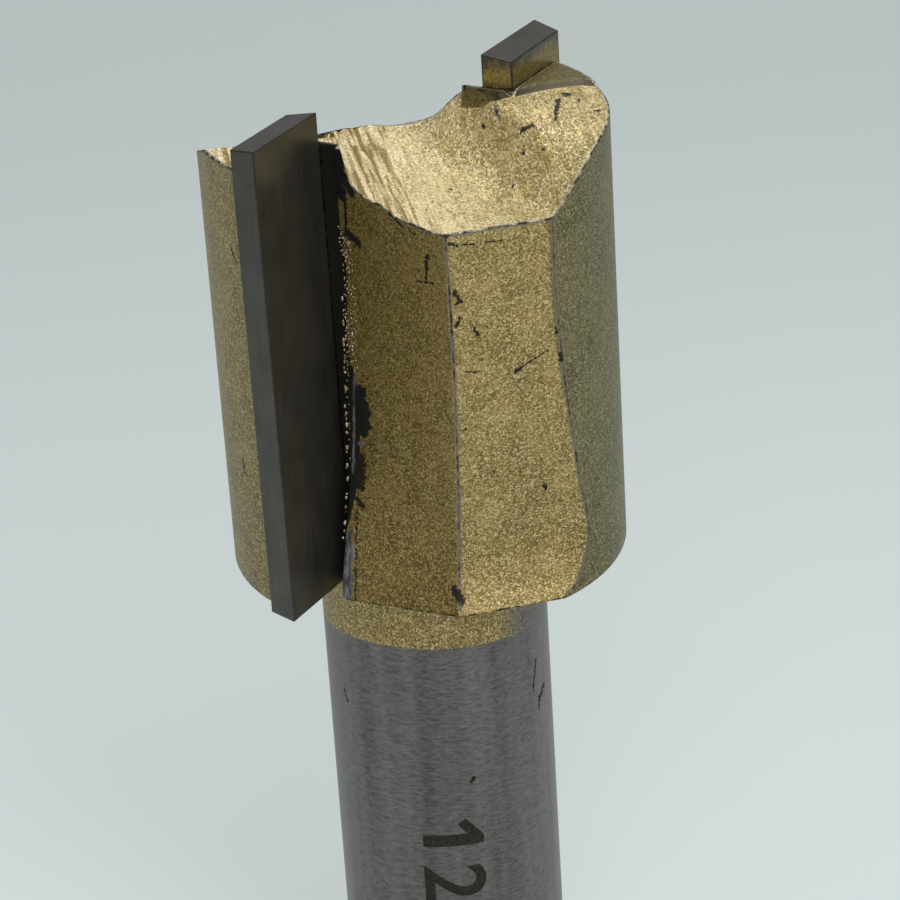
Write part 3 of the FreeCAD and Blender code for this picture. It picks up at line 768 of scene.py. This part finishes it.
    metal = addNode(tree, "ShaderNodeMapRange", {0: milled, 3: 0.55, 4: 0.25})
    metal = addNode(tree, "ShaderNodeMix", {0: covered, 2: 0.9, 3: metal}, data_type="FLOAT")
    rough = addNode(tree, "ShaderNodeMapRange", {0: marks, 1: 0.3, 2: 0.7, 3: 0.34, 4: 0.46})
    rough = addNode(tree, "ShaderNodeMix", {0: covered, 2: rough, 3: 0.46}, data_type="FLOAT")
    rough = addNode(tree, "ShaderNodeMix", {0: dirt, 2: rough, 3: 0.6}, data_type="FLOAT")
    shader = addNode(tree, "ShaderNodeBsdfPrincipled", {
        "Base Color": colour.outputs[2], "Metallic": metal, "Roughness": rough, "Normal": facing})
    finishMaterial(tree, shader)
    return material


# Tungsten carbide, sintered and diamond ground: dark grey, fine lines along each tip,
# lacquer overspray left on its back
def makeCarbide():
    material, tree = newMaterial("diamondGroundTungstenCarbide")
    coords = addNode(tree, "ShaderNodeTexCoord")
    place = addNode(tree, "ShaderNodeVectorMath", {0: coords.outputs["Object"], "Scale": 1 / mm},
                    operation="SCALE")
    lines = addNode(tree, "ShaderNodeVectorMath", {0: place, 1: (9.0, 9.0, 0.25)}, operation="MULTIPLY")
    lines = addNode(tree, "ShaderNodeTexNoise", {"Vector": lines, "Scale": 1.0, "Detail": 4.0})
    cloud = addNode(tree, "ShaderNodeTexNoise", {"Vector": place, "Scale": 0.5, "Detail": 4.0})
    edge = addNode(tree, "ShaderNodeAttribute", attribute_name="edge")
    sprayed = addNode(tree, "ShaderNodeAttribute", attribute_name="sprayed")
    mixed = addNode(tree, "ShaderNodeMath", {0: lines, 1: cloud}, operation="ADD")
    tone = addNode(tree, "ShaderNodeMapRange", {0: mixed, 1: 0.7, 2: 1.3})
    colour = addNode(tree, "ShaderNodeMix", {0: tone, 6: linear("#403e39"), 7: linear("#55524c")},
                     data_type="RGBA")
    flake = addNode(tree, "ShaderNodeTexVoronoi", {"Vector": place, "Scale": 1 / paint["flake"]})
    flakeTone = addNode(tree, "ShaderNodeSeparateColor", {0: flake.outputs["Color"]})
    gold = addNode(tree, "ShaderNodeMix", {0: flakeTone.outputs[0], 6: linear("#62552a"),
                                           7: linear("#97854d")}, data_type="RGBA")
    patch = addNode(tree, "ShaderNodeTexNoise", {"Vector": place, "Scale": 1.1, "Detail": 6.0,
                                                 "Roughness": 0.75})
    high = addNode(tree, "ShaderNodeSeparateXYZ", {0: place})
    fading = addNode(tree, "ShaderNodeMapRange", {0: high.outputs[2], 1: 63.5, 2: 65.0, 3: 0.8, 4: 0.35})
    fading = addNode(tree, "ShaderNodeMath", {0: fading, 1: sprayed.outputs["Fac"]}, operation="MULTIPLY")
    spray = addNode(tree, "ShaderNodeMath", {0: fading, 1: patch}, operation="ADD")
    spray = addNode(tree, "ShaderNodeMapRange", {0: spray, 1: 0.92, 2: 1.14})
    colour = addNode(tree, "ShaderNodeMix", {0: edge.outputs["Fac"], 6: colour.outputs[2],
                                             7: linear("#262524")}, data_type="RGBA")
    colour = addNode(tree, "ShaderNodeMix", {0: spray, 6: colour.outputs[2], 7: gold.outputs[2]},
                     data_type="RGBA")
    rough = addNode(tree, "ShaderNodeMapRange", {0: lines, 1: 0.3, 2: 0.7, 3: 0.3, 4: 0.42})
    bump = addNode(tree, "ShaderNodeBump", {"Strength": 0.2, "Distance": 0.01 * mm, "Height": lines})
    metal = addNode(tree, "ShaderNodeMapRange", {0: spray, 3: 0.7, 4: 0.45})
    shader = addNode(tree, "ShaderNodeBsdfPrincipled", {
        "Base Color": colour.outputs[2], "Metallic": metal, "Roughness": rough, "Normal": bump})
    finishMaterial(tree, shader)
    return material


# Silver solder, flowed and left as it froze: small bright beads with dull tarnish between
def makeBraze():
    material, tree = newMaterial("flowedSilverSolder")
    coords = addNode(tree, "ShaderNodeTexCoord")
    place = addNode(tree, "ShaderNodeVectorMath", {0: coords.outputs["Object"], "Scale": 1 / mm},
                    operation="SCALE")
    bead = addNode(tree, "ShaderNodeAttribute", attribute_name="tone")
    tarnish = addNode(tree, "ShaderNodeTexNoise", {"Vector": place, "Scale": 3.0, "Detail": 4.0,
                                                   "Roughness": 0.7})
    tone = addNode(tree, "ShaderNodeMapRange", {0: tarnish, 1: 0.38, 2: 0.62})
    dull = addNode(tree, "ShaderNodeMix", {0: tone, 6: linear("#231f15"), 7: linear("#7d7258")},
                   data_type="RGBA")
    clean = addNode(tree, "ShaderNodeMapRange", {0: bead.outputs["Fac"], 1: 0.15, 2: 0.5})
    goldish = addNode(tree, "ShaderNodeMapRange", {0: bead.outputs["Fac"], 1: 0.45, 2: 0.65})
    metal = addNode(tree, "ShaderNodeMix", {0: goldish, 6: linear("#9b7f57"), 7: linear("#b5b0a0")},
                    data_type="RGBA")
    colour = addNode(tree, "ShaderNodeMix", {0: clean, 6: dull.outputs[2], 7: metal.outputs[2]},
                     data_type="RGBA")
    rough = addNode(tree, "ShaderNodeMapRange", {0: tarnish, 3: 0.5, 4: 0.25})
    bump = addNode(tree, "ShaderNodeBump", {"Strength": 0.5, "Distance": 0.03 * mm, "Height": tarnish})
    shader = addNode(tree, "ShaderNodeBsdfPrincipled", {
        "Base Color": colour.outputs[2], "Metallic": 1.0, "Roughness": rough, "Normal": bump})
    finishMaterial(tree, shader)
    return material


# Carbide tips
tip = {
    "rake": 1.88, "thickness": 1.74, "outer": 11.65, "width": 6.2, "length": 26.95,
    "sideRelief": 16.6, "endRelief": 9.0, "innerSlant": 7.0, "edgeRound": 0.035,
}


def makeTip(name, turn, node, material):
    back = tip["rake"] + tip["thickness"]
    inner = tip["outer"] - tip["width"]
    rise = tip["thickness"] * math.tan(math.radians(tip["endRelief"]))
    plan = [(-tip["rake"], -tip["outer"]),
            (-back, -tip["outer"] + tip["thickness"] * math.tan(math.radians(tip["sideRelief"]))),
            (-back, -inner - tip["thickness"] * math.tan(math.radians(tip["innerSlant"]))),
            (-tip["rake"], -inner)]
    z0 = body["shankLength"]
    tops = [tip["length"], tip["length"] - rise, tip["length"] - rise, tip["length"]]
    mesh = bmesh.new()
    low = [mesh.verts.new((x * mm, y * mm, z0 * mm)) for x, y in plan]
    high = [mesh.verts.new((x * mm, y * mm, (z0 + t) * mm)) for (x, y), t in zip(plan, tops)]
    mesh.faces.new(low)
    mesh.faces.new(high[::-1])
    for i in range(4):
        mesh.faces.new((low[i], high[i], high[(i + 1) % 4], low[(i + 1) % 4]))
    bmesh.ops.recalc_face_normals(mesh, faces=mesh.faces)
    edgeLayer = mesh.verts.layers.float.new("edge")
    sprayLayer = mesh.verts.layers.float.new("sprayed")
    bmesh.ops.bevel(mesh, geom=list(mesh.edges), offset=tip["edgeRound"] * mm, segments=2, profile=0.5,
                    affect="EDGES")
    flats = [face for face in mesh.faces if face.calc_area() > 1e-6]
    bmesh.ops.inset_individual(mesh, faces=flats, thickness=0.1 * mm)
    for vert in mesh.verts:
        vert[edgeLayer] = 0.55
    for face in flats:
        for vert in face.verts:
            vert[edgeLayer] = 0.0
            if face.normal.x < -0.9 or face.normal.y > 0.9:
                vert[sprayLayer] = 1.0
    data = bpy.data.meshes.new(name)
    mesh.to_mesh(data)
    mesh.free()
    data.transform(Matrix.Rotation(math.radians(turn), 4, "Z"))
    data.polygons.foreach_set("use_smooth", [True] * len(data.polygons))
    data.set_sharp_from_angle(angle=math.radians(50))
    data.materials.append(material)
    piece = bpy.data.objects.new(name, data)
    scene.collection.objects.link(piece)
    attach(piece, "root")
    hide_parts(node)
    return piece


# Braze: the seam behind a tip and at its inner end, and the beads that ran out along the gash
braze = {
    "gap": 0.15, "beadSeed": 7,
    # beads: heights, places across the wall, count, smallest and largest radius, stretch up and down
    "beads": [((3.3, 16.6), (-0.96, -0.87), 36, 0.06, 0.115, 1.7),
              ((8.0, 16.4), (-0.82, -0.68), 26, 0.03, 0.06, 1.3),
              ((13.0, 20.2), (-0.82, -0.05), 150, 0.03, 0.065, 1.3),
              ((15.0, 17.0), (-0.45, -0.3), 5, 0.07, 0.1, 1.5),
              ((19.3, 20.6), (-0.95, -0.5), 16, 0.04, 0.08, 1.0)],
}


# how far the front gullet's back wall stands off at one height and one place across
def gulletWall(h, x):
    k = math.sqrt(0.5)
    flat, corner, wall = (float(through(body[part], np.float64(h))) for part in ("flat", "corner", "wall"))
    ex, ey = (flat - corner) * k, -(flat + corner) * k
    t = max(0.0, (x + body["gashSide"]) / (ex + body["gashSide"]))
    return -wall + (ey + wall) * t


def makeSeam(name, turn, node, material):
    random = np.random.default_rng(braze["beadSeed"] + turn)
    back = tip["rake"] + tip["thickness"]
    inner = tip["outer"] - tip["width"]
    slotBack, slotEnd = back + braze["gap"], inner - braze["gap"]
    lean = tip["thickness"] * math.tan(math.radians(tip["innerSlant"]))
    outerY = math.sqrt(body["headRadius"] ** 2 - slotBack ** 2) - 0.02
    runs = [(np.array(a), np.array(b)) for a, b in (
        ((-slotBack, -outerY), (-slotBack, -slotEnd)), ((-slotBack, -slotEnd), (-tip["rake"], -slotEnd)),
        ((-tip["rake"], -inner), (-back, -inner - lean)), ((-back, -inner - lean), (-back, -outerY)))]
    corners = [runs[0][0]]
    for a, b in runs:
        count = max(1, int(np.linalg.norm(b - a) / 0.22))
        if np.linalg.norm(corners[-1] - a) > 1e-6:
            corners.append(a)
        corners += [a + (b - a) * t for t in np.linspace(0, 1, count + 1)[1:]]
    loop = np.array(corners)
    cosT, sinT = math.cos(math.radians(turn)), math.sin(math.radians(turn))
    atTop = topHeight(loop[:, 0] * cosT - loop[:, 1] * sinT, loop[:, 0] * sinT + loop[:, 1] * cosT)
    wavy = np.minimum(atTop, body["headHeight"] - 0.02) - random.uniform(0.0, 0.09, len(loop))
    points, tones, faces = [], [], []
    count = len(loop)
    levels = [np.full(count, 0.02), *(wavy * f for f in (0.25, 0.5, 0.75, 0.97)), wavy]
    for level in levels:
        points += [(x, y, z) for (x, y), z in zip(loop, level)]
    for i in range(len(levels) - 1):
        faces += bridge(range(i * count, (i + 1) * count), range((i + 1) * count, (i + 2) * count))
    triangles = fillLoop(loop, np.zeros((0, 2)))
    faces += [tuple(int(v) for v in t[::-1]) for t in triangles]
    faces += [tuple(int(v) + (len(levels) - 1) * count for v in t) for t in triangles]
    tones += [0.1] * len(points)

    ball = bmesh.new()
    bmesh.ops.create_icosphere(ball, subdivisions=2, radius=1.0)
    ballPoints = np.array([v.co[:] for v in ball.verts])
    ballFaces = [tuple(v.index for v in f.verts) for f in ball.faces]
    ball.free()
    for heights, places, number, small, large, stretch in braze["beads"]:
        for h in np.linspace(*heights, number) + random.uniform(-0.3, 0.3, number):
            x, radius = random.uniform(*places), random.uniform(small, large)
            y = gulletWall(h, x) - 0.25 * radius
            blob = ballPoints * radius * (1, 0.8, random.uniform(1.0, stretch))
            blob = blob * (1 + 0.18 * np.sin(3 * ballPoints[:, [1]] + random.uniform(0, 6)))
            first = len(points)
            points += [tuple(p) for p in blob + (x, y, h)]
            faces += [tuple(v + first for v in f) for f in ballFaces]
            tones += [random.uniform(0.2, 1.0)] * len(ballPoints)
    points = np.array(points)
    x, y = points[:, 0] * cosT - points[:, 1] * sinT, points[:, 0] * sinT + points[:, 1] * cosT
    points = np.column_stack((x, y, points[:, 2] + body["shankLength"]))
    return newPiece(name, points, faces, material, node, {"tone": tones}, 60)


# Size numerals rolled into the shank and blackened
numerals = {
    "one": [(0.2, 0), (0.35, 0), (0.35, 0.7), (0.24, 0.7), (0.0, 0.5), (0.07, 0.41), (0.2, 0.51)],
    "rest": "2.7", "restStart": 0.62,
    "height": 3.5, "start": -14.75, "firstAngle": 286.7, "boldness": 0.012, "spacing": 1.12,
}


# Steel marked by a hot roll: matt black-brown oxide in each stroke
def makeMarked():
    material, tree = newMaterial("hotRolledMarkOnSteel")
    coords = addNode(tree, "ShaderNodeTexCoord")
    place = addNode(tree, "ShaderNodeVectorMath", {0: coords.outputs["Object"], "Scale": 1 / mm},
                    operation="SCALE")
    grain = addNode(tree, "ShaderNodeTexNoise", {"Vector": place, "Scale": 5.0, "Detail": 4.0,
                                                 "Roughness": 0.7})
    grain = addNode(tree, "ShaderNodeMapRange", {0: grain, 1: 0.35, 2: 0.7})
    colour = addNode(tree, "ShaderNodeMix", {0: grain, 6: linear("#1b1815"), 7: linear("#37322c")},
                     data_type="RGBA")
    bump = addNode(tree, "ShaderNodeBump", {"Strength": 0.3, "Distance": 0.02 * mm, "Height": grain})
    shader = addNode(tree, "ShaderNodeBsdfPrincipled", {
        "Base Color": colour.outputs[2], "Metallic": 0.0, "Roughness": 0.8,
        "Specular IOR Level": 0.2, "Normal": bump})
    finishMaterial(tree, shader)
    return material


def makeNumerals():
    curve = bpy.data.curves.new("sizeNumerals", "FONT")
    curve.body = numerals["rest"]
    curve.size = 1.0
    curve.offset = numerals["boldness"]
    curve.space_character = numerals["spacing"]
    curve.resolution_u = 6
    holder = bpy.data.objects.new("numeralOutline", curve)
    scene.collection.objects.link(holder)
    bpy.context.view_layer.update()
    flat = bpy.data.meshes.new_from_object(holder.evaluated_get(bpy.context.evaluated_depsgraph_get()))
    bpy.data.objects.remove(holder)
    shape = bmesh.new()
    shape.from_mesh(flat)
    bpy.data.meshes.remove(flat)
    tall, left = max(v.co.y for v in shape.verts), min(v.co.x for v in shape.verts)
    for vert in shape.verts:
        vert.co.x += numerals["restStart"] - left
    shape.faces.new([shape.verts.new((x, y * tall / 0.7, 0)) for x, y in numerals["one"]])
    shape.normal_update()
    bmesh.ops.triangulate(shape, faces=shape.faces)
    for _ in range(3):
        long = [e for e in shape.edges if e.calc_length() > 0.07]
        bmesh.ops.subdivide_edges(shape, edges=long, cuts=1)
        bmesh.ops.triangulate(shape, faces=shape.faces)
    side = bmesh.ops.extrude_face_region(shape, geom=shape.faces)
    for part in side["geom"]:
        if isinstance(part, bmesh.types.BMVert):
            part.co.z = -1.0
    bmesh.ops.recalc_face_normals(shape, faces=shape.faces)
    scale = numerals["height"] / tall
    for vert in shape.verts:
        angle = math.radians(numerals["firstAngle"]) + vert.co.y * scale / body["shankRadius"]
        radius = body["shankRadius"] + (0.012 if vert.co.z > -0.5 else -0.06)
        height = body["shankLength"] + numerals["start"] - vert.co.x * scale
        vert.co = Vector((radius * math.cos(angle), radius * math.sin(angle), height)) * mm
    bmesh.ops.recalc_face_normals(shape, faces=shape.faces)
    mesh = bpy.data.meshes.new("sizeNumerals")
    shape.to_mesh(mesh)
    shape.free()
    mesh.materials.append(makeMarked())
    piece = bpy.data.objects.new("sizeNumerals", mesh)
    scene.collection.objects.link(piece)
    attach(piece, "root")


print("materials")
paintedSteel = makePaintedSteel()
carbide = makeCarbide()
solder = makeBraze()

print("cutter body")
makeBody(paintedSteel)

print("tips")
makeTip("tipFront", 0, "carbide_tip_front", carbide)
makeTip("tipBack", 180, "carbide_tip_back", carbide)

print("braze")
makeSeam("brazeFront", 0, "braze_seam_front", solder)
makeSeam("brazeBack", 180, "braze_seam_back", solder)

print("size numerals")
makeNumerals()

# Stage: matt pale board in a pale room, one soft lamp behind it and one in front
stage = {
    "board": "#ccd5d4", "boardFarShade": "#b1bab9", "size": 3.0, "aim": (0, 0, 0.04),
    "room": "#dfe2e3", "roomStrength": 0.4,
    # lamps: place, width, watts
    "overhead": ((-0.12, 0.25, 0.8), 0.5, 4.2),
    "front": ((0.42, -0.42, 0.5), 0.6, 3.6),
}


# Card, pressed and matt: an even pale grey that keeps the shadow, with painted shade making it a little
# darker far back
def makeBoard():
    material, tree = newMaterial("mattPaleCard")
    coords = addNode(tree, "ShaderNodeTexCoord")
    back = addNode(tree, "ShaderNodeVectorMath", {0: coords.outputs["Object"], 1: (-0.51, 0.86, 0)},
                   operation="DOT_PRODUCT")
    far = addNode(tree, "ShaderNodeMapRange", {0: back.outputs["Value"], 1: -0.02, 2: 0.2},
                  interpolation_type="SMOOTHSTEP")
    colour = addNode(tree, "ShaderNodeMix", {0: far, 6: linear(stage["board"]), 7: linear(stage["boardFarShade"])},
                     data_type="RGBA")
    shader = addNode(tree, "ShaderNodeBsdfPrincipled", {"Base Color": colour.outputs[2], "Roughness": 0.9})
    finishMaterial(tree, shader)
    mesh = bpy.data.meshes.new("board")
    half = stage["size"] / 2
    mesh.from_pydata([(-half, -half, 0), (half, -half, 0), (half, half, 0), (-half, half, 0)], [],
                     [(0, 1, 2, 3)])
    mesh.materials.append(material)
    board = bpy.data.objects.new("board", mesh)
    scene.collection.objects.link(board)


def addLamp(name):
    position, width, watts = stage[name]
    lamp = bpy.data.lights.new(name, "AREA")
    lamp.shape = "RECTANGLE"
    lamp.size = lamp.size_y = width
    lamp.energy = watts
    holder = bpy.data.objects.new(name, lamp)
    holder.location = position
    holder.rotation_euler = (Vector(stage["aim"]) - Vector(position)).to_track_quat("-Z", "Y").to_euler()
    scene.collection.objects.link(holder)


print("stage")
makeBoard()
world = bpy.data.worlds.new("room")
world.use_nodes = True
world.node_tree.nodes["Background"].inputs[0].default_value = linear(stage["room"])
world.node_tree.nodes["Background"].inputs[1].default_value = stage["roomStrength"]
scene.world = world
addLamp("overhead")
addLamp("front")

# Camera at the photo's viewing angle; place in mm, roll in degrees
shot = {
    "place": (87.85, -145.39, 124.9), "forward": (-0.4599, 0.7755, -0.43251), "right": (0.8601, 0.5101, 0.0),
    "roll": -3.661, "lens": 135.7, "sensor": 36,
}
forward = Vector(shot["forward"]).normalized()
right = Vector(shot["right"]).normalized()
up = right.cross(forward)
roll = math.radians(shot["roll"])
turnedRight = math.cos(roll) * right + math.sin(roll) * up
turnedUp = -math.sin(roll) * right + math.cos(roll) * up
camera = bpy.data.objects.new("camera", bpy.data.cameras.new("camera"))
camera.data.lens = shot["lens"]
camera.data.sensor_width = shot["sensor"]
camera.data.clip_start = 0.01
pose = Matrix((turnedRight, turnedUp, -forward)).transposed().to_4x4()
pose.translation = Vector(shot["place"]) * mm
camera.matrix_world = pose
scene.collection.objects.link(camera)
scene.camera = camera
scene.view_settings.view_transform = "Standard"
